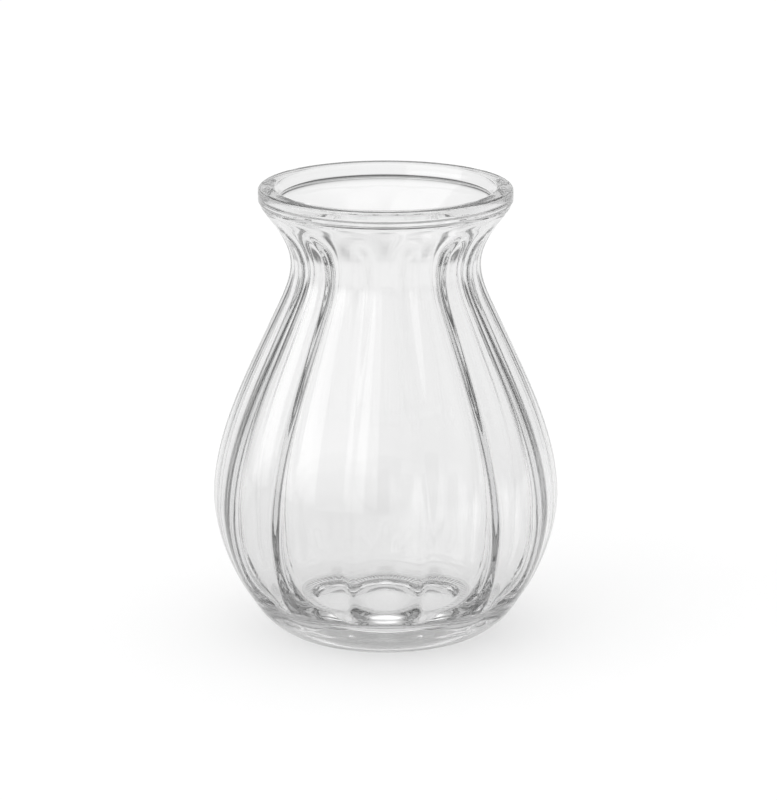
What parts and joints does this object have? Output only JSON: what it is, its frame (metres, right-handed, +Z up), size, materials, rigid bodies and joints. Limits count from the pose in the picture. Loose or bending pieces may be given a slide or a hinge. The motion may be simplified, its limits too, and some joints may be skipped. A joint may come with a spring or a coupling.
{
  "type": "bud vase",
  "caption": "Clear glass bud vase: pear-shaped body with soft vertical flutes, thick base, drawn-in neck and thick round-cornered lip, open at the top for water and short stems.",
  "frame": {"origin": "centre of the standing ring, on the surface that the vase stands on", "axes": "+Z up along the axis of the vase; -Y is the side that faced the camera, and a flute's crest lies on each of +X, -X, +Y and -Y"},
  "size_m": [0.0836, 0.0836, 0.1096],
  "materials": {
    "glass": "clear soda-lime glass, fire-polished, with a trace of green-grey where it is thick"
  },
  "bodies": {
    "root": {"base": "glass", "belly": "glass", "shoulder": "glass", "neck": "glass", "rim": "glass"}
  },
  "joints": []
}
